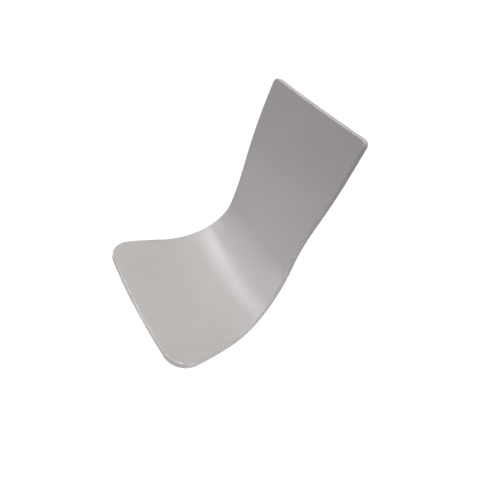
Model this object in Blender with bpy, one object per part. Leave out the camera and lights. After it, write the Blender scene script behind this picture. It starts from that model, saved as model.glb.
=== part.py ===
"""One-piece moulded chair shell: a flat seat, a round bend and a tall back, pressed from thin layers.

Every layer follows one surface, shell_point(x, s, depth). x runs across the shell. s is the developed
length, from the front edge of the seat, round the bend, to the top of the back. depth runs from the
sitter's face, at 0, to the rear face, at THICKNESS. +X is across, +Y to the back and +Z up. The origin is
on the flat underside of the seat, at the middle of the four fixings.
"""

import math

import bmesh
import bpy
import numpy as np

# Side profile of the sitter's face (metres and radians)
SEAT_LENGTH = 0.145
BEND_RADIUS = 0.150
BEND_ANGLE = math.radians(89)
BACK_LENGTH = 0.326
BACK_CURVATURE = -0.19
BEND_END = SEAT_LENGTH + BEND_RADIUS * BEND_ANGLE
LENGTH = BEND_END + BACK_LENGTH

# The back is dished across its width, to hold the sitter's back
DISH_CURVATURE = 0.27

# The bend is crowned: there the middle of the width stands proud of its edges
CROWN_HEIGHT = 0.003
CROWN_START = 0.195
CROWN_PEAK = 0.345
CROWN_END = 0.60

# Half the finished width at stations along the developed length
WIDTH_STATIONS = (0, 0.085, 0.176, 0.268, 0.352, 0.437, 0.563, LENGTH)
HALF_WIDTHS = (0.2, 0.1915, 0.1755, 0.1505, 0.1317, 0.128, 0.1387, 0.1415)
FRONT_CORNER = 0.058
TOP_CORNER = 0.012
FRONT_BOW = 0.0055
TOP_DIP = 0.002

# Build-up through the thickness
LAMINATE = 0.0008
VENEER = 0.0014
GLUE_LINE = 0.00008
VENEER_COUNT = 9
THICKNESS = 2 * LAMINATE + VENEER_COUNT * VENEER + (VENEER_COUNT + 1) * GLUE_LINE
EDGE_ROUND = 0.002
EDGE_COAT = 0.00025
EDGE_GAP = 0.0003

# Tee nuts, M6, set from the sitter's side under the face laminate
FIXING_X = 0.1
FIXING_FRONT = 0.045
FIXING_REAR = 0.13
NUT_FLANGE_RADIUS = 0.0095
NUT_FLANGE_THICKNESS = 0.0011
NUT_BARREL_RADIUS = 0.0039
NUT_BARREL_LENGTH = 0.0095
NUT_BORE_RADIUS = 0.0025
FIT_CLEARANCE = 0.0003
BOLT_HOLE_RADIUS = 0.0035

# Mesh fineness
COLUMNS = 6
FRONT_CORNER_ROWS = 5
SEAT_ROWS = 2
BEND_ROWS = 14
BACK_ROWS = 12
TOP_CORNER_ROWS = 2
ROUND_SIDES = 16

ORIGIN_S = (FIXING_FRONT + FIXING_REAR) / 2

# Colours are linear RGB
GREY_LAMINATE = (0.53, 0.51, 0.495)
GREY_COAT = (0.55, 0.53, 0.515)
BEECH_ALONG = (0.58, 0.38, 0.22)
BEECH_ACROSS = (0.47, 0.29, 0.16)
ZINC = (0.60, 0.61, 0.63)


def clear_scene():
    for obj in list(bpy.data.objects):
        bpy.data.objects.remove(obj, do_unlink=True)


def new_collection(name):
    collection = bpy.data.collections.new(name)
    bpy.context.scene.collection.children.link(collection)
    return collection


def material(name, colour, roughness, metallic=0.0):
    made = bpy.data.materials.new(name)
    made.use_nodes = True
    shader = made.node_tree.nodes["Principled BSDF"]
    shader.inputs["Base Color"].default_value = (*colour, 1)
    shader.inputs["Roughness"].default_value = roughness
    shader.inputs["Metallic"].default_value = metallic
    made.diffuse_color = (*colour, 1)
    return made


def spline_slopes(xs, ys):
    """The slope at each station of the natural cubic spline through the stations."""
    gap = np.diff(xs)
    rise = np.diff(ys) / gap
    count = len(xs)
    system = np.zeros((count, count))
    right = np.zeros(count)
    system[0, :2] = 2, 1
    right[0] = 3 * rise[0]
    for i in range(1, count - 1):
        system[i, i - 1 : i + 2] = gap[i], 2 * (gap[i - 1] + gap[i]), gap[i - 1]
        right[i] = 3 * (gap[i] * rise[i - 1] + gap[i - 1] * rise[i])
    system[-1, -2:] = 1, 2
    right[-1] = 3 * rise[-1]
    return np.linalg.solve(system, right)


WIDTH_SLOPES = spline_slopes(WIDTH_STATIONS, HALF_WIDTHS)


def side_line(s):
    """Half the width at s before the corners are rounded."""
    i = int(np.clip(np.searchsorted(WIDTH_STATIONS, s) - 1, 0, len(WIDTH_STATIONS) - 2))
    gap = WIDTH_STATIONS[i + 1] - WIDTH_STATIONS[i]
    t = (s - WIDTH_STATIONS[i]) / gap
    y0, y1 = HALF_WIDTHS[i], HALF_WIDTHS[i + 1]
    m0, m1 = WIDTH_SLOPES[i] * gap, WIDTH_SLOPES[i + 1] * gap
    return (
        (2 * t**3 - 3 * t**2 + 1) * y0
        + (t**3 - 2 * t**2 + t) * m0
        + (3 * t**2 - 2 * t**3) * y1
        + (t**3 - t**2) * m1
    )


def smooth(t):
    t = min(max(t, 0), 1)
    return t * t * (3 - 2 * t)


def profile(s):
    """(y, z, angle) of the sitter's face on the centre line: straight, arc, then a very slight arc."""
    turn = min(max((s - SEAT_LENGTH) / BEND_RADIUS, 0), BEND_ANGLE)
    y = min(s, SEAT_LENGTH) + BEND_RADIUS * math.sin(turn)
    z = BEND_RADIUS * (1 - math.cos(turn))
    angle = turn + BACK_CURVATURE * max(s - BEND_END, 0)
    if s > BEND_END:
        y += (math.sin(angle) - math.sin(BEND_ANGLE)) / BACK_CURVATURE
        z -= (math.cos(angle) - math.cos(BEND_ANGLE)) / BACK_CURVATURE
    return y, z, angle


def crown(s):
    """How far the middle of the width stands proud of its edges."""
    rising = smooth((s - CROWN_START) / (CROWN_PEAK - CROWN_START))
    falling = smooth((s - CROWN_PEAK) / (CROWN_END - CROWN_PEAK))
    return CROWN_HEIGHT * (rising - falling)


def shell_point(x, s, depth):
    y, z, angle = profile(s)
    dish = DISH_CURVATURE * smooth((s - SEAT_LENGTH) / (BEND_END - SEAT_LENGTH))
    lift = dish * x**2 / 2 + crown(s) * (1 - (x / side_line(s)) ** 2) - depth
    y -= math.sin(angle) * lift
    z += math.cos(angle) * lift
    return x, y - ORIGIN_S, z + THICKNESS


def quarter_turn(count):
    return [math.pi / 2 * i / count for i in range(count + 1)]


def rows_of(inset):
    """(s, distance in from the side line) of each row of the mesh, with the corners as quarter circles."""
    front, top = FRONT_CORNER - inset, TOP_CORNER - inset
    rows = []
    for turn in quarter_turn(FRONT_CORNER_ROWS):
        rows.append((inset + front * (1 - math.cos(turn)), front * (1 - math.sin(turn))))
    stretches = (
        (FRONT_CORNER, SEAT_LENGTH, SEAT_ROWS),
        (SEAT_LENGTH, BEND_END, BEND_ROWS),
        (BEND_END, LENGTH - TOP_CORNER, BACK_ROWS),
    )
    for start, end, count in stretches:
        rows += [(start + (end - start) * (i + 1) / count, 0) for i in range(count)]
    for turn in quarter_turn(TOP_CORNER_ROWS)[1:]:
        rows.append((LENGTH - TOP_CORNER + top * math.sin(turn), top * (1 - math.cos(turn))))
    return rows


def flat_pattern(inset):
    """The developed outline, drawn in by inset all round, as a grid of (x, s) from front to top."""
    grid = []
    for s, corner in rows_of(inset):
        slope = (side_line(s + 0.001) - side_line(s - 0.001)) / 0.002
        half = side_line(s) - inset * math.hypot(1, slope) - corner
        bow = FRONT_BOW * (1 - smooth(s / FRONT_CORNER))
        dip = TOP_DIP * smooth((s - BEND_END) / (LENGTH - BEND_END))
        across = [2 * j / COLUMNS - 1 for j in range(COLUMNS + 1)]
        grid.append([(u * half, s - (bow + dip) * (1 - u * u)) for u in across])
    return grid


def rim(grid):
    """The outermost items of a grid, in order round its edge."""
    sides = [row[-1] for row in grid[:-1]], [row[0] for row in grid[:0:-1]]
    return grid[0][:-1] + sides[0] + grid[-1][:0:-1] + sides[1]


def rounding(depth):
    """How far the rounded edge has pulled in at this depth."""
    near = min(depth, THICKNESS - depth)
    if near >= EDGE_ROUND:
        return 0
    return EDGE_ROUND - math.sqrt(EDGE_ROUND**2 - (EDGE_ROUND - near) ** 2)


def add_object(name, mesh, collection, finish):
    obj = bpy.data.objects.new(name, mesh)
    collection.objects.link(obj)
    mesh.materials.append(finish)
    return obj


def layer(name, depth, thickness, collection, finish):
    """One pressed layer: a grid laid on the shell at two depths, closed round its edge."""
    bm = bmesh.new()
    faces = []
    for level in (depth, depth + thickness):
        grid = flat_pattern(EDGE_COAT + EDGE_GAP + rounding(level))
        faces.append([[bm.verts.new(shell_point(x, s, level)) for x, s in row] for row in grid])
    for face in faces:
        for near, far in zip(face, face[1:]):
            for j in range(COLUMNS):
                bm.faces.new((near[j], near[j + 1], far[j + 1], far[j]))
    join_rings(bm, [rim(face) for face in faces])
    return finish_mesh(bm, name, collection, finish)


def join_rings(bm, rings):
    """Faces between each ring of vertices and the next."""
    for ring, following in zip(rings, rings[1:]):
        for k in range(len(ring)):
            bm.faces.new((ring[k - 1], ring[k], following[k], following[k - 1]))


def finish_mesh(bm, name, collection, finish):
    bmesh.ops.recalc_face_normals(bm, faces=bm.faces)
    bmesh.ops.triangulate(bm, faces=bm.faces, quad_method="FIXED")
    mesh = bpy.data.meshes.new(name)
    bm.to_mesh(mesh)
    bm.free()
    mesh.shade_smooth()
    mesh.set_sharp_from_angle(angle=math.radians(35))
    return add_object(name, mesh, collection, finish)


def edge_coat(collection, finish):
    """The coat on the edge: a thin band round the outline, wrapped over both rounded corners."""
    near = [EDGE_ROUND * (1 - math.cos(turn)) for turn in quarter_turn(3)]
    depths = near + [THICKNESS - depth for depth in reversed(near)]
    section = [(depth, rounding(depth)) for depth in depths]
    section += [(depth, rounding(depth) + EDGE_COAT) for depth in reversed(depths)]
    bm = bmesh.new()
    rings = []
    for depth, inset in section:
        outline = rim(flat_pattern(inset))
        rings.append([bm.verts.new(shell_point(x, s, depth)) for x, s in outline])
    join_rings(bm, rings + rings[:1])
    return finish_mesh(bm, "edge_coat", collection, finish)


def cylinder_mesh(name, radius, top, bottom):
    """A cylinder between two depths, for a place on the flat seat."""
    bm = bmesh.new()
    bmesh.ops.create_cone(
        bm,
        cap_ends=True,
        segments=ROUND_SIDES,
        radius1=radius,
        radius2=radius,
        depth=bottom - top,
    )
    for vert in bm.verts:
        vert.co.z += THICKNESS - (top + bottom) / 2
    mesh = bpy.data.meshes.new(name)
    bm.to_mesh(mesh)
    bm.free()
    return mesh


def tee_nut_mesh():
    """Turned profile of a tee nut: flange, barrel and a bore right through."""
    top = THICKNESS - LAMINATE - 2 * GLUE_LINE
    under = top - NUT_FLANGE_THICKNESS
    end = top - NUT_BARREL_LENGTH
    outline = (
        (NUT_BORE_RADIUS, top),
        (NUT_FLANGE_RADIUS, top),
        (NUT_FLANGE_RADIUS, under),
        (NUT_BARREL_RADIUS, under),
        (NUT_BARREL_RADIUS, end),
        (NUT_BORE_RADIUS, end),
    )
    bm = bmesh.new()
    rings = []
    for radius, height in outline:
        turns = [2 * math.pi * k / ROUND_SIDES for k in range(ROUND_SIDES)]
        rings.append([bm.verts.new((radius * math.cos(t), radius * math.sin(t), height)) for t in turns])
    join_rings(bm, rings + rings[:1])
    bmesh.ops.recalc_face_normals(bm, faces=bm.faces)
    mesh = bpy.data.meshes.new("tee_nut")
    bm.to_mesh(mesh)
    bm.free()
    mesh.shade_smooth()
    mesh.set_sharp_from_angle(angle=math.radians(35))
    return mesh


def fixing_places():
    for row, s in (("front", FIXING_FRONT), ("rear", FIXING_REAR)):
        for side, x in (("left", -FIXING_X), ("right", FIXING_X)):
            yield f"{row}_{side}", (x, s - ORIGIN_S, 0)


def joined_cutter(name, radius, top, bottom, cutters):
    """Four cylinders in one object, one at each fixing."""
    bm = bmesh.new()
    shape = cylinder_mesh(name, radius, top, bottom)
    for _, (x, y, _) in fixing_places():
        count = len(bm.verts)
        bm.from_mesh(shape)
        for vert in list(bm.verts)[count:]:
            vert.co.x += x
            vert.co.y += y
    bm.to_mesh(shape)
    bm.free()
    cutter = bpy.data.objects.new(name, shape)
    cutters.objects.link(cutter)
    cutter.hide_render = True
    cutter.display_type = "WIRE"
    return cutter


def cut(obj, cutter):
    boolean = obj.modifiers.new(cutter.name, "BOOLEAN")
    boolean.operation = "DIFFERENCE"
    boolean.solver = "EXACT"
    boolean.object = cutter


def build():
    clear_scene()
    parts = new_collection("moulded_chair_shell")
    cutters = new_collection("cutters")
    laminate = material("grey_laminate", GREY_LAMINATE, 0.42)
    coat = material("grey_edge_coat", GREY_COAT, 0.38)
    along = material("beech_along", BEECH_ALONG, 0.6)
    across = material("beech_across", BEECH_ACROSS, 0.6)
    zinc = material("zinc_plated_steel", ZINC, 0.35, 1.0)

    flange_hole = joined_cutter("flange_hole", NUT_FLANGE_RADIUS + FIT_CLEARANCE, 0, THICKNESS / 2, cutters)
    barrel_hole = joined_cutter("barrel_hole", NUT_BARREL_RADIUS + FIT_CLEARANCE, 0, 2 * THICKNESS, cutters)
    bolt_hole = joined_cutter("bolt_hole", BOLT_HOLE_RADIUS, THICKNESS / 2, 2 * THICKNESS, cutters)

    layer("face_laminate", 0, LAMINATE, parts, laminate)
    for i in range(VENEER_COUNT):
        depth = LAMINATE + GLUE_LINE + i * (VENEER + GLUE_LINE)
        grain = along if i % 2 == 0 else across
        veneer = layer(f"veneer_{i + 1:02d}", depth, VENEER, parts, grain)
        cut(veneer, flange_hole if i == 0 else barrel_hole)
    rear = layer("rear_laminate", THICKNESS - LAMINATE, LAMINATE, parts, laminate)
    cut(rear, bolt_hole)
    edge_coat(parts, coat)

    nut = tee_nut_mesh()
    nut.materials.append(zinc)
    for place, position in fixing_places():
        obj = bpy.data.objects.new(f"tee_nut_{place}", nut)
        parts.objects.link(obj)
        obj.location = position


build()
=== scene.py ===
"""The finished look of a one-piece moulded chair shell: light grey satin faces and edges.

The shell's surface is shell_point(x, s, depth), the formula of the CAD part. x runs across, s is the
developed length from the front edge to the top, and depth goes from the sitter's face to the rear face.
The fine laminates, edge coat and tee nuts made here stand for the plain CAD ones, and the nine veneers
inside stay as the CAD has them.
"""

import math

import bmesh
import bpy
import numpy as np
from mathutils import Matrix, Vector


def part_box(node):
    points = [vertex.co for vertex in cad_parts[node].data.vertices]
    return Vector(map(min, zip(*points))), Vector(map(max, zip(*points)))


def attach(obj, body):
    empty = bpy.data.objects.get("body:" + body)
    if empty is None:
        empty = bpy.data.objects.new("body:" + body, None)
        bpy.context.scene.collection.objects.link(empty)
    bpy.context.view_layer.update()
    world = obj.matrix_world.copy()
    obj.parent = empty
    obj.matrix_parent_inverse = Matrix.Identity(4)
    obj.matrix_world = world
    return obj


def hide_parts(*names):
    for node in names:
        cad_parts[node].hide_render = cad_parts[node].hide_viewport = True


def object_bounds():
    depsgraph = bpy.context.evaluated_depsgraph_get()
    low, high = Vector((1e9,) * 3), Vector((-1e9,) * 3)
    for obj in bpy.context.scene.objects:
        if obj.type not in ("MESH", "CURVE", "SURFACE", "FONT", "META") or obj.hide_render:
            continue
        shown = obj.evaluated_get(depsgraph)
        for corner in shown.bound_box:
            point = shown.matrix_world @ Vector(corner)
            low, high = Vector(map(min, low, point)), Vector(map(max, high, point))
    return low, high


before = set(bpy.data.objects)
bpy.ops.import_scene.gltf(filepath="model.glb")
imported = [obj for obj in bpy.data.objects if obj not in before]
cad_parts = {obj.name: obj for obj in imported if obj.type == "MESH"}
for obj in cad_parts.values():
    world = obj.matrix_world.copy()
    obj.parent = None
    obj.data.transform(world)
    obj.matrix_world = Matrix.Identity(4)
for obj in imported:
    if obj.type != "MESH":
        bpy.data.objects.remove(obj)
CAD_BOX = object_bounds()
VENEERS = [f"veneer_{i:02d}" for i in range(1, 10)]
TEE_NUTS = [f"tee_nut_{row}_{side}" for row in ("front", "rear") for side in ("left", "right")]

# Side profile of the sitter's face (metres and radians)
SEAT_LENGTH = 0.145
BEND_RADIUS = 0.150
BEND_ANGLE = math.radians(89)
BACK_LENGTH = 0.326
BACK_CURVATURE = -0.19
BEND_END = SEAT_LENGTH + BEND_RADIUS * BEND_ANGLE
LENGTH = BEND_END + BACK_LENGTH
DISH_CURVATURE = 0.27
CROWN_HEIGHT = 0.003
CROWN_START = 0.195
CROWN_PEAK = 0.345
CROWN_END = 0.60
ORIGIN_S = 0.0875

# Half the finished width at stations along the developed length, and the outline's corners
WIDTH_STATIONS = (0, 0.085, 0.176, 0.268, 0.352, 0.437, 0.563, LENGTH)
HALF_WIDTHS = (0.2, 0.1915, 0.1755, 0.1505, 0.1317, 0.128, 0.1387, 0.1415)
FRONT_CORNER = 0.058
TOP_CORNER = 0.012
FRONT_BOW = 0.0055
TOP_DIP = 0.002

# Through the thickness
THICKNESS = 0.015
LAMINATE = 0.0008
EDGE_ROUND = 0.002
EDGE_COAT = 0.00025
BOLT_HOLE_RADIUS = 0.0035
COUNTERSINK = 0.0003
DRILL_DEPTH = 0.002

# Tee nuts, M6
BARREL_RADIUS = 0.0039
FLANGE_THICKNESS = 0.0011
THREAD_CORE = 0.0025
THREAD_DEPTH = 0.0005
THREAD_PITCH = 0.001
THREAD_STEPS = 8
HOLE_SIDES = 48
BROKEN_EDGE = 0.0003
FINE_EDGE = 0.0002
NECK_FLARE = 0.0006
NECK_HEIGHT = 0.0004
SHANK_START = 0.001
SHANK_DRAFT = 0.0001

# Finish, linear RGB
GREY = (0.43, 0.411, 0.401)
SATIN_ROUGHNESS = 0.24
SATIN_SPECULAR = 0.5
BEECH_LIGHT_ALONG = (0.62, 0.42, 0.25)
BEECH_DARK_ALONG = (0.47, 0.29, 0.15)
BEECH_LIGHT_ACROSS = (0.56, 0.37, 0.21)
BEECH_DARK_ACROSS = (0.42, 0.25, 0.13)
ZINC = (0.60, 0.61, 0.63)
ZINC_YELLOWED = (0.66, 0.65, 0.61)

# Mesh fineness
COLUMNS = 48
FRONT_CORNER_ROWS = 24
SEAT_ROWS = 24
BEND_ROWS = 72
BACK_ROWS = 72
TOP_CORNER_ROWS = 10
ROUND_STEPS = 8
WALL_STEPS = 6
SHARP_ANGLE = math.radians(40)
SLOPE_STEP = 0.001

# The camera, from above the sitter's left knee, held a little askew
CAMERA_PLACE = Vector((0.5136, -0.3811, 0.6911))
CAMERA_AIM = Vector((0.0604, 0.1346, 0.1733))
CAMERA_ROLL = math.radians(22.6)
CAMERA_LENS = 27.34
SENSOR_WIDTH = 36

# The lamps: name, place, size (metres), power (watts) and tint. Those in FACE_LAMPS, RIM_LAMPS and
# REAR_LAMPS each light one piece only.
LAMP_AIM = Vector((0, 0.12, 0.08))
NEUTRAL = (1, 1, 1)
COOL = (1.0, 0.97, 1.07)
WARM = (1.0, 0.97, 0.90)
LAMPS = (
    ("ceiling_panel", (0.2, 0.1, 5.4), (0.6, 0.8), 210, NEUTRAL),
    ("high_window", (-2.0, -1.9, 3.0), (1.6, 1.4), 15, NEUTRAL),
    ("near_window", (-0.9, -1.3, 1.6), (1.4, 0.8), 4, NEUTRAL),
    ("strip", (-1.0, -0.8, 0.8), (0.2, 0.4), 2.2, NEUTRAL),
    ("far_strip", (-2.9, -2.6, 0.7), (0.3, 0.2), 8, NEUTRAL),
    ("right_window", (3.7, 0.9, 3.2), (0.4, 0.8), 60, NEUTRAL),
    ("beneath", (-0.2, 0.1, -0.9), (0.8, 0.8), 7, NEUTRAL),
)
FACE_LAMPS = (
    ("low_front", (0, -0.70, 0.05), (0.40, 0.40), 2.3, COOL),
    ("low_right", (0.30, -0.60, -0.10), (0.40, 0.40), 2.2, COOL),
    ("low_near", (-0.18, -0.23, 0.02), (0.6, 0.3), 0.2, WARM),
    ("low_left", (-1.20, 0.05, 0.25), (0.40, 0.40), 0.9, COOL),
)
RIM_LAMPS = (
    ("rim_front", (0, -0.60, 0.05), (0.50, 0.40), 2.7, NEUTRAL),
    ("rim_right", (0.65, 0.14, -0.35), (0.40, 0.40), 5.6, COOL),
    ("rim_below", (0.1, -0.6, -0.7), (0.60, 0.60), 3.5, NEUTRAL),
    ("rim_top", (-0.1, 0.45, 0.95), (0.30, 0.30), 1.5, NEUTRAL),
    ("rim_rear", (-0.5, 1.2, 0.25), (0.40, 0.40), 6, NEUTRAL),
)
REAR_LAMPS = (
    ("rear_window", (-1.0, 2.4, 0.9), (1.2, 1.2), 60, NEUTRAL),
    ("rear_low", (1.2, 2.0, -0.3), (0.8, 0.8), 18, NEUTRAL),
)
FILL = 0.03
WHITE_SEEN = 1.05
WHITE = (1, 1, 1, 1)
BLACK = (0, 0, 0, 1)

# The floor, a little below the shell, which its mount holds
FLOOR_RADIUS = 60
FLOOR_SIDES = 48
FLOOR_DROP = 0.002


# ---------------------------------------------------------------- surface of the shell


def spline_slopes(xs, ys):
    """The slope at each station of the natural cubic spline through the stations."""
    gap = np.diff(xs)
    rise = np.diff(ys) / gap
    count = len(xs)
    system = np.zeros((count, count))
    right = np.zeros(count)
    system[0, :2] = 2, 1
    right[0] = 3 * rise[0]
    for i in range(1, count - 1):
        system[i, i - 1 : i + 2] = gap[i], 2 * (gap[i - 1] + gap[i]), gap[i - 1]
        right[i] = 3 * (gap[i] * rise[i - 1] + gap[i - 1] * rise[i])
    system[-1, -2:] = 1, 2
    right[-1] = 3 * rise[-1]
    return np.linalg.solve(system, right)


WIDTH_SLOPES = spline_slopes(WIDTH_STATIONS, HALF_WIDTHS)


def side_line(s):
    """Half the width at s before the corners are rounded."""
    i = int(np.clip(np.searchsorted(WIDTH_STATIONS, s) - 1, 0, len(WIDTH_STATIONS) - 2))
    gap = WIDTH_STATIONS[i + 1] - WIDTH_STATIONS[i]
    t = (s - WIDTH_STATIONS[i]) / gap
    y0, y1 = HALF_WIDTHS[i], HALF_WIDTHS[i + 1]
    m0, m1 = WIDTH_SLOPES[i] * gap, WIDTH_SLOPES[i + 1] * gap
    return (
        (2 * t**3 - 3 * t**2 + 1) * y0
        + (t**3 - 2 * t**2 + t) * m0
        + (3 * t**2 - 2 * t**3) * y1
        + (t**3 - t**2) * m1
    )


def smooth(t):
    """An even rise from 0 to 1."""
    t = min(max(t, 0), 1)
    return t * t * (3 - 2 * t)


def profile(s):
    """(y, z, angle) of the sitter's face on the centre line: straight, arc, then a very slight arc."""
    turn = min(max((s - SEAT_LENGTH) / BEND_RADIUS, 0), BEND_ANGLE)
    y = min(s, SEAT_LENGTH) + BEND_RADIUS * math.sin(turn)
    z = BEND_RADIUS * (1 - math.cos(turn))
    angle = turn + BACK_CURVATURE * max(s - BEND_END, 0)
    if s > BEND_END:
        y += (math.sin(angle) - math.sin(BEND_ANGLE)) / BACK_CURVATURE
        z -= (math.cos(angle) - math.cos(BEND_ANGLE)) / BACK_CURVATURE
    return y, z, angle


def crown(s):
    """How far the middle of the width stands proud of its edges."""
    rising = smooth((s - CROWN_START) / (CROWN_PEAK - CROWN_START))
    falling = smooth((s - CROWN_PEAK) / (CROWN_END - CROWN_PEAK))
    return CROWN_HEIGHT * (rising - falling)


def shell_point(x, s, depth):
    """The place of a point of the shell, in the CAD's frame."""
    y, z, angle = profile(s)
    dish = DISH_CURVATURE * smooth((s - SEAT_LENGTH) / (BEND_END - SEAT_LENGTH))
    lift = dish * x**2 / 2 + crown(s) * (1 - (x / side_line(s)) ** 2) - depth
    y -= math.sin(angle) * lift
    z += math.cos(angle) * lift
    return x, y - ORIGIN_S, z + THICKNESS


def quarter_turn(count):
    return [math.pi / 2 * i / count for i in range(count + 1)]


def rows_of(inset):
    """(s, distance in from the side line) of each row of the mesh, with the corners as quarter circles."""
    front, top = FRONT_CORNER - inset, TOP_CORNER - inset
    rows = []
    for turn in quarter_turn(FRONT_CORNER_ROWS):
        rows.append((inset + front * (1 - math.cos(turn)), front * (1 - math.sin(turn))))
    stretches = (
        (FRONT_CORNER, SEAT_LENGTH, SEAT_ROWS),
        (SEAT_LENGTH, BEND_END, BEND_ROWS),
        (BEND_END, LENGTH - TOP_CORNER, BACK_ROWS),
    )
    for start, end, count in stretches:
        rows += [(start + (end - start) * (i + 1) / count, 0) for i in range(count)]
    for turn in quarter_turn(TOP_CORNER_ROWS)[1:]:
        rows.append((LENGTH - TOP_CORNER + top * math.sin(turn), top * (1 - math.cos(turn))))
    return rows


def flat_pattern(inset):
    """The developed outline, drawn in by inset all round, as a grid of (x, s) from front to top."""
    grid = []
    for s, corner in rows_of(inset):
        slope = (side_line(s + SLOPE_STEP) - side_line(s - SLOPE_STEP)) / (2 * SLOPE_STEP)
        half = side_line(s) - inset * math.hypot(1, slope) - corner
        bow = FRONT_BOW * (1 - smooth(s / FRONT_CORNER))
        dip = TOP_DIP * smooth((s - BEND_END) / (LENGTH - BEND_END))
        across = [2 * j / COLUMNS - 1 for j in range(COLUMNS + 1)]
        grid.append([(u * half, s - (bow + dip) * (1 - u * u)) for u in across])
    return grid


def rim(grid):
    """The outermost items of a grid, in order round its edge."""
    sides = [row[-1] for row in grid[:-1]], [row[0] for row in grid[:0:-1]]
    return grid[0][:-1] + sides[0] + grid[-1][:0:-1] + sides[1]


def join_rings(bm, rings):
    """Faces between each ring of vertices and the next."""
    for ring, following in zip(rings, rings[1:]):
        for k in range(len(ring)):
            bm.faces.new((ring[k - 1], ring[k], following[k], following[k - 1]))


# ---------------------------------------------------------------- pieces


def new_object(name, bm, finish):
    """A finished piece that rides on the shell's one body."""
    bmesh.ops.recalc_face_normals(bm, faces=bm.faces)
    mesh = bpy.data.meshes.new(name)
    bm.to_mesh(mesh)
    bm.free()
    mesh.shade_smooth()
    mesh.set_sharp_from_angle(angle=SHARP_ANGLE)
    mesh.materials.append(finish)
    obj = bpy.data.objects.new(name, mesh)
    bpy.context.scene.collection.objects.link(obj)
    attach(obj, "root")
    return obj


def sheet(name, near, far, finish):
    """A laminate between two depths. Its border is where the rounded edge begins."""
    bm = bmesh.new()
    pattern = flat_pattern(EDGE_ROUND)
    faces = [[[bm.verts.new(shell_point(x, s, d)) for x, s in row] for row in pattern] for d in (near, far)]
    for face in faces:
        for before, after in zip(face, face[1:]):
            for j in range(COLUMNS):
                bm.faces.new((before[j], before[j + 1], after[j + 1], after[j]))
    join_rings(bm, [rim(face) for face in faces])
    return new_object(name, bm, finish)


def edge_section():
    """(inset, depth) round the closed section of the edge coat, outer side first."""
    turns = quarter_turn(ROUND_STEPS)
    corner = [(EDGE_ROUND * (1 - math.sin(t)), EDGE_ROUND * (1 - math.cos(t))) for t in turns]
    wall_height = THICKNESS - 2 * EDGE_ROUND
    wall = [(0, EDGE_ROUND + wall_height * i / WALL_STEPS) for i in range(1, WALL_STEPS)]
    outer = corner + wall + [(inset, THICKNESS - depth) for inset, depth in reversed(corner)]
    middle = THICKNESS / 2
    inner = []
    for inset, depth in reversed(outer):
        shrink = 1 - EDGE_COAT / middle
        inner.append((inset + EDGE_COAT * (1 - inset / EDGE_ROUND), middle + (depth - middle) * shrink))
    return outer + inner


def edge_band(name, finish):
    """The coat round the whole edge, wrapped over both rounded corners."""
    bm = bmesh.new()
    rings = []
    for inset, depth in edge_section():
        outline = rim(flat_pattern(inset))
        rings.append([bm.verts.new(shell_point(x, s, depth)) for x, s in outline])
    join_rings(bm, rings + rings[:1])
    return new_object(name, bm, finish)


def ring_of(bm, x, y, radii, heights):
    """A ring of vertices about a point of the seat, each with its own radius and height."""
    count = len(radii)
    ring = []
    for k, (radius, height) in enumerate(zip(radii, heights)):
        turn = 2 * math.pi * k / count
        ring.append(bm.verts.new((x + radius * math.cos(turn), y + radius * math.sin(turn), height)))
    return ring


def drill_bolt_holes(obj):
    """Cuts the clearance hole under each tee nut, with a small countersink at the underside."""
    drill_outline = (
        (BOLT_HOLE_RADIUS, DRILL_DEPTH),
        (BOLT_HOLE_RADIUS, COUNTERSINK),
        (BOLT_HOLE_RADIUS + 2 * COUNTERSINK, -COUNTERSINK),
    )
    bm = bmesh.new()
    for node in TEE_NUTS:
        low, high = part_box(node)
        x, y = (low.x + high.x) / 2, (low.y + high.y) / 2
        rings = [ring_of(bm, x, y, [radius] * HOLE_SIDES, [z] * HOLE_SIDES) for radius, z in drill_outline]
        join_rings(bm, rings)
        bm.faces.new(rings[0])
        bm.faces.new(rings[-1])
    bmesh.ops.recalc_face_normals(bm, faces=bm.faces)
    mesh = bpy.data.meshes.new("drill")
    bm.to_mesh(mesh)
    bm.free()
    drill = bpy.data.objects.new("drill", mesh)
    bpy.context.scene.collection.objects.link(drill)
    boolean = obj.modifiers.new("bolt_holes", "BOOLEAN")
    boolean.operation = "DIFFERENCE"
    boolean.solver = "EXACT"
    boolean.object = drill
    bpy.context.view_layer.update()
    cut = bpy.data.meshes.new_from_object(obj.evaluated_get(bpy.context.evaluated_depsgraph_get()))
    obj.modifiers.clear()
    obj.data = cut
    bpy.data.objects.remove(drill)


def thread_radius(height, k):
    """Radius of the M6 thread's surface at a height, on side k of the bore."""
    phase = (height / THREAD_PITCH - k / HOLE_SIDES) % 1
    return THREAD_CORE + THREAD_DEPTH * abs(2 * phase - 1)


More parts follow.
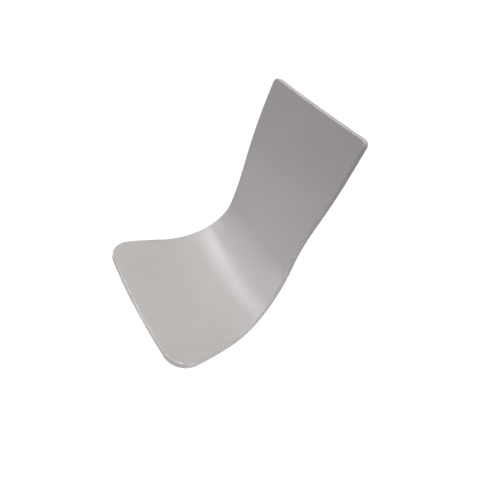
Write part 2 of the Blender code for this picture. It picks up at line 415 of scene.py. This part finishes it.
def tee_nut(name, node, finish):
    """A tee nut in its CAD node's place: flange, barrel with a rolled lip, and a threaded bore."""
    low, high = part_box(node)
    x, y = (low.x + high.x) / 2, (low.y + high.y) / 2
    flange = (high.x - low.x) / 2
    top, bottom = high.z, low.z
    under = top - FLANGE_THICKNESS
    outline = [
        (THREAD_CORE + THREAD_DEPTH + BROKEN_EDGE, top),
        (flange - BROKEN_EDGE, top),
        (flange, top - BROKEN_EDGE),
        (flange, under + FINE_EDGE),
        (flange - FINE_EDGE, under),
        (BARREL_RADIUS + NECK_FLARE, under),
        (BARREL_RADIUS + SHANK_DRAFT, under - NECK_HEIGHT),
        (BARREL_RADIUS - SHANK_DRAFT, under - SHANK_START),
        (BARREL_RADIUS - SHANK_DRAFT, bottom + BROKEN_EDGE),
        (BARREL_RADIUS - BROKEN_EDGE, bottom),
        (THREAD_CORE + THREAD_DEPTH + FINE_EDGE, bottom),
    ]
    bm = bmesh.new()
    rings = [ring_of(bm, x, y, [radius] * HOLE_SIDES, [z] * HOLE_SIDES) for radius, z in outline]
    start, end = bottom + BROKEN_EDGE, top - BROKEN_EDGE
    steps = round((end - start) / THREAD_PITCH * THREAD_STEPS)
    for i in range(steps + 1):
        height = start + (end - start) * i / steps
        radii = [thread_radius(height, k) for k in range(HOLE_SIDES)]
        rings.append(ring_of(bm, x, y, radii, [height] * HOLE_SIDES))
    join_rings(bm, rings + rings[:1])
    return new_object(name, bm, finish)


# ---------------------------------------------------------------- materials


class Paint:
    """A Principled material and the nodes that vary it, all in object space, in metres."""

    def __init__(self, name, metallic=0.0, specular=0.5):
        self.material = bpy.data.materials.new(name)
        self.material.use_nodes = True
        self.tree = self.material.node_tree
        self.shader = self.tree.nodes["Principled BSDF"]
        self.shader.inputs["Metallic"].default_value = metallic
        self.shader.inputs["Specular IOR Level"].default_value = specular
        self.place = self.tree.nodes.new("ShaderNodeTexCoord").outputs["Object"]

    def link(self, output, target):
        self.tree.links.new(output, target)

    def stretched(self, scale):
        mapping = self.tree.nodes.new("ShaderNodeMapping")
        mapping.inputs["Scale"].default_value = scale
        self.link(self.place, mapping.inputs["Vector"])
        return mapping.outputs["Vector"]

    def noise(self, scale, detail=2.0, vector=None, distortion=0.0):
        node = self.tree.nodes.new("ShaderNodeTexNoise")
        node.inputs["Scale"].default_value = scale
        node.inputs["Detail"].default_value = detail
        node.inputs["Distortion"].default_value = distortion
        self.link(vector or self.place, node.inputs["Vector"])
        return node.outputs["Fac"]

    def spread(self, value, low, high, start=0.3, end=0.7):
        """Maps the middle of a noise to a range."""
        node = self.tree.nodes.new("ShaderNodeMapRange")
        node.inputs["From Min"].default_value = start
        node.inputs["From Max"].default_value = end
        node.inputs["To Min"].default_value = low
        node.inputs["To Max"].default_value = high
        self.link(value, node.inputs["Value"])
        return node.outputs["Result"]

    def combine(self, operation, first, second):
        node = self.tree.nodes.new("ShaderNodeMath")
        node.operation = operation
        for socket, value in zip(node.inputs, (first, second)):
            if isinstance(value, (int, float)):
                socket.default_value = value
            else:
                self.link(value, socket)
        return node.outputs["Value"]

    def blend(self, factor, first, second):
        """A colour between two, each an RGB tuple or another node's colour."""
        node = self.tree.nodes.new("ShaderNodeMix")
        node.data_type = "RGBA"
        node.clamp_factor = True
        self.link(factor, node.inputs["Factor"])
        for socket, colour in ((node.inputs[6], first), (node.inputs[7], second)):
            if isinstance(colour, tuple):
                socket.default_value = (*colour, 1)
            else:
                self.link(colour, socket)
        return node.outputs[2]

    def bump(self, height, distance, strength=1.0, under=None):
        node = self.tree.nodes.new("ShaderNodeBump")
        node.inputs["Distance"].default_value = distance
        node.inputs["Strength"].default_value = strength
        self.link(height, node.inputs["Height"])
        if under is not None:
            self.link(under, node.inputs["Normal"])
        return node.outputs["Normal"]

    def finish(self, colour, roughness, normal):
        self.link(colour, self.shader.inputs["Base Color"])
        self.link(roughness, self.shader.inputs["Roughness"])
        self.link(normal, self.shader.inputs["Normal"])
        return self.material


def shade(values, factor):
    """A colour made lighter or darker, or a scale made finer, by one factor."""
    return tuple(value * factor for value in values)


def satin_laminate():
    """Pressed melamine: faint clouding, a fine grain, a pearl texture, and smears where hands have been."""
    paint = Paint("grey_laminate", specular=SATIN_SPECULAR)
    clouds = paint.spread(paint.noise(scale=14, detail=3), low=0, high=1)
    grain = paint.spread(paint.noise(scale=500, detail=2), low=0, high=1)
    tone = paint.combine("ADD", paint.combine("MULTIPLY", clouds, 0.5), paint.combine("MULTIPLY", grain, 0.5))
    colour = paint.blend(tone, shade(GREY, 0.965), shade(GREY, 1.035))
    rubbed = paint.noise(scale=1, detail=4, vector=paint.stretched((14, 40, 40)), distortion=0.6)
    roughness = paint.combine("ADD", paint.spread(rubbed, low=-0.02, high=0.02), SATIN_ROUGHNESS)
    pearl = paint.bump(paint.noise(scale=900, detail=2), distance=0.00003, strength=0.25)
    normal = paint.bump(paint.noise(scale=45, detail=2), distance=0.0002, strength=0.05, under=pearl)
    return paint.finish(colour, roughness, normal)


def sprayed_coat():
    """Sprayed finish on the edge: the laminate's grey, with a slight orange peel."""
    paint = Paint("grey_coat", specular=SATIN_SPECULAR)
    clouds = paint.spread(paint.noise(scale=30, detail=3), low=0, high=1)
    colour = paint.blend(clouds, shade(GREY, 0.97), shade(GREY, 1.03))
    uneven = paint.spread(paint.noise(scale=60, detail=3), low=-0.02, high=0.03)
    roughness = paint.combine("ADD", uneven, SATIN_ROUGHNESS)
    orange_peel = paint.bump(paint.noise(scale=420, detail=2), distance=0.00003, strength=0.15)
    return paint.finish(colour, roughness, orange_peel)


def beech(name, scale, light, dark):
    """Rotary-cut beech, with long soft bands and short dark flecks along the grain."""
    paint = Paint(name, specular=0.35)
    long_noise = paint.noise(scale=1, detail=4, vector=paint.stretched(scale), distortion=0.8)
    bands = paint.spread(long_noise, low=0, high=1)
    short_noise = paint.noise(scale=1, detail=1, vector=paint.stretched(shade(scale, 4)))
    flecks = paint.spread(short_noise, low=0, high=1, start=0.6, end=0.7)
    colour = paint.blend(flecks, paint.blend(bands, dark, light), shade(dark, 0.6))
    roughness = paint.spread(bands, low=0.55, high=0.7, start=0, end=1)
    return paint.finish(colour, roughness, paint.bump(bands, distance=0.0001, strength=0.4))


def zinc_plate():
    """Bright zinc, a little yellowed in places, with a fine tooth."""
    paint = Paint("zinc_plate", metallic=1.0)
    tint = paint.spread(paint.noise(scale=160, detail=2), low=0, high=1)
    colour = paint.blend(tint, ZINC, ZINC_YELLOWED)
    roughness = paint.spread(paint.noise(scale=700, detail=3), low=0.25, high=0.4)
    tooth = paint.bump(paint.noise(scale=1500, detail=2), distance=0.00002, strength=0.4)
    return paint.finish(colour, roughness, tooth)


# ---------------------------------------------------------------- build


def as_in_record(piece, node):
    """The piece stands for a CAD node, whose own mesh is hidden."""
    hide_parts(node)


def build_shell():
    laminate = satin_laminate()
    as_in_record(sheet("face_sheet", 0, LAMINATE, laminate), "face_laminate")
    rear = sheet("rear_sheet", THICKNESS, THICKNESS - LAMINATE, laminate)
    drill_bolt_holes(rear)
    as_in_record(rear, "rear_laminate")
    as_in_record(edge_band("edge_finish", sprayed_coat()), "edge_coat")
    zinc = zinc_plate()
    for node in TEE_NUTS:
        as_in_record(tee_nut(f"{node}_threaded", node, zinc), node)


def finish_veneers():
    """The veneers keep the CAD's shape. Their grain runs along the shell and across it by turns."""
    along = beech("beech_along", (260, 9, 9), BEECH_LIGHT_ALONG, BEECH_DARK_ALONG)
    across = beech("beech_across", (9, 260, 260), BEECH_LIGHT_ACROSS, BEECH_DARK_ACROSS)
    for node in VENEERS:
        number = int(node[-2:])
        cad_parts[node].data.materials.clear()
        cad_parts[node].data.materials.append(along if number % 2 else across)


build_shell()
finish_veneers()


# ---------------------------------------------------------------- stage, camera and light


def add_camera():
    data = bpy.data.cameras.new("camera")
    data.lens = CAMERA_LENS
    data.sensor_width = SENSOR_WIDTH
    camera = bpy.data.objects.new("camera", data)
    look = (CAMERA_AIM - CAMERA_PLACE).to_track_quat("-Z", "Y").to_matrix().to_4x4()
    camera.matrix_world = Matrix.Translation(CAMERA_PLACE) @ look @ Matrix.Rotation(CAMERA_ROLL, 4, "Z")
    bpy.context.scene.collection.objects.link(camera)
    bpy.context.scene.camera = camera


def add_lamp(name, place, size, power, tint):
    """A rectangular lamp aimed at the shell and hidden from the camera."""
    data = bpy.data.lights.new(name, "AREA")
    data.shape = "RECTANGLE"
    data.size, data.size_y = size
    data.energy = power
    data.color = tint
    lamp = bpy.data.objects.new(name, data)
    facing = (Vector(place) - LAMP_AIM).to_track_quat("Z", "Y").to_matrix().to_4x4()
    lamp.matrix_world = Matrix.Translation(place) @ facing
    lamp.visible_camera = False
    bpy.context.scene.collection.objects.link(lamp)
    return lamp


def add_lamps():
    """The general lamps, then the groups that each light one piece. Rim lamps leave no reflection."""
    for settings in LAMPS:
        add_lamp(*settings)
    groups = (("face_sheet", FACE_LAMPS), ("edge_finish", RIM_LAMPS), ("rear_sheet", REAR_LAMPS))
    for piece, lamps in groups:
        lit = bpy.data.collections.new(f"lit_{piece}")
        lit.objects.link(bpy.data.objects[piece])
        for settings in lamps:
            add_lamp(*settings).light_linking.receiver_collection = lit
    for name, *_ in RIM_LAMPS:
        bpy.data.objects[name].visible_glossy = False


def add_floor():
    """A plain white floor. Only the camera sees it. It takes no shadow and lights nothing."""
    bm = bmesh.new()
    bmesh.ops.create_circle(bm, cap_ends=True, segments=FLOOR_SIDES, radius=FLOOR_RADIUS)
    mesh = bpy.data.meshes.new("floor")
    bm.to_mesh(mesh)
    bm.free()
    paint = bpy.data.materials.new("floor_white")
    paint.use_nodes = True
    shader = paint.node_tree.nodes["Principled BSDF"]
    shader.inputs["Base Color"].default_value = BLACK
    shader.inputs["Specular IOR Level"].default_value = 0
    shader.inputs["Emission Color"].default_value = WHITE
    shader.inputs["Emission Strength"].default_value = WHITE_SEEN
    mesh.materials.append(paint)
    floor = bpy.data.objects.new("floor", mesh)
    floor.location.z = CAD_BOX[0].z - FLOOR_DROP
    for ray in ("diffuse", "glossy", "transmission", "shadow"):
        setattr(floor, f"visible_{ray}", False)
    bpy.context.scene.collection.objects.link(floor)


def add_world():
    """White to the camera, and a faint fill for everything else."""
    world = bpy.data.worlds.new("studio")
    bpy.context.scene.world = world
    world.use_nodes = True
    tree = world.node_tree
    background = tree.nodes["Background"]
    background.inputs["Color"].default_value = WHITE
    seen = tree.nodes.new("ShaderNodeLightPath").outputs["Is Camera Ray"]
    strength = tree.nodes.new("ShaderNodeMapRange")
    strength.inputs["To Min"].default_value = FILL
    strength.inputs["To Max"].default_value = WHITE_SEEN
    tree.links.new(seen, strength.inputs["Value"])
    tree.links.new(strength.outputs["Result"], background.inputs["Strength"])


add_lamps()
add_camera()
add_floor()
add_world()
bpy.context.scene.view_settings.view_transform = "Standard"
